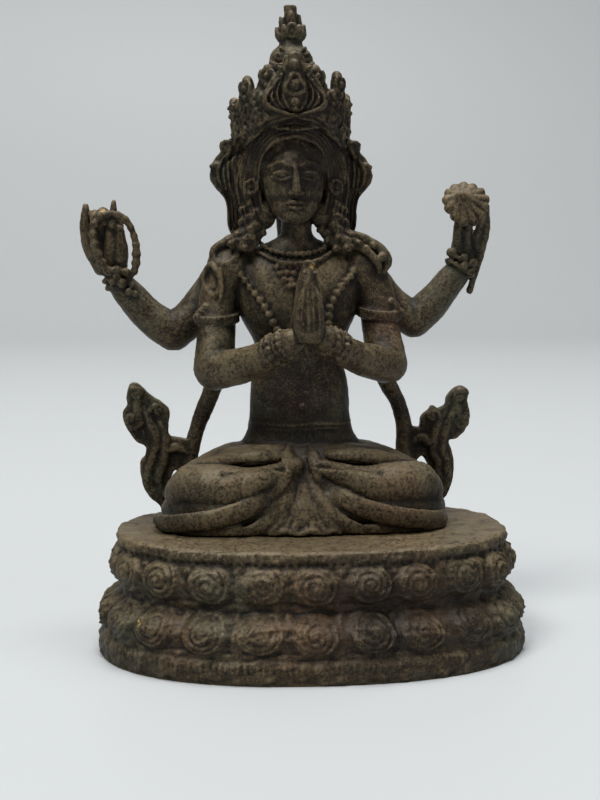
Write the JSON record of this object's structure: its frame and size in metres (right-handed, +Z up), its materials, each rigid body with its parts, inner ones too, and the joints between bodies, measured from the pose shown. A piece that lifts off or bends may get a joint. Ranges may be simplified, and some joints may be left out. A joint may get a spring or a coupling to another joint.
{
  "type": "avalokiteshvara statue",
  "caption": "Seated four-armed deity in cast bronze, palms together, a rosary and a lotus in the raised hands, crowned, on an oval double-lotus base",
  "frame": {"origin": "middle of the base's flat underside", "axes": "+Z up, the front of the statue faces -Y, +X is the viewer's right"},
  "size_m": [0.1469, 0.098, 0.2109],
  "materials": {
    "dark_bronze": "dark olive-brown patina, near black in the hollows, dusty tan on the high spots, green in places",
    "dusty_bronze": "dusty olive-brown patina with green in the petals' grooves"
  },
  "bodies": {
    "root": {"figure": "dark_bronze", "lotus_base": "dusty_bronze"}
  },
  "joints": []
}
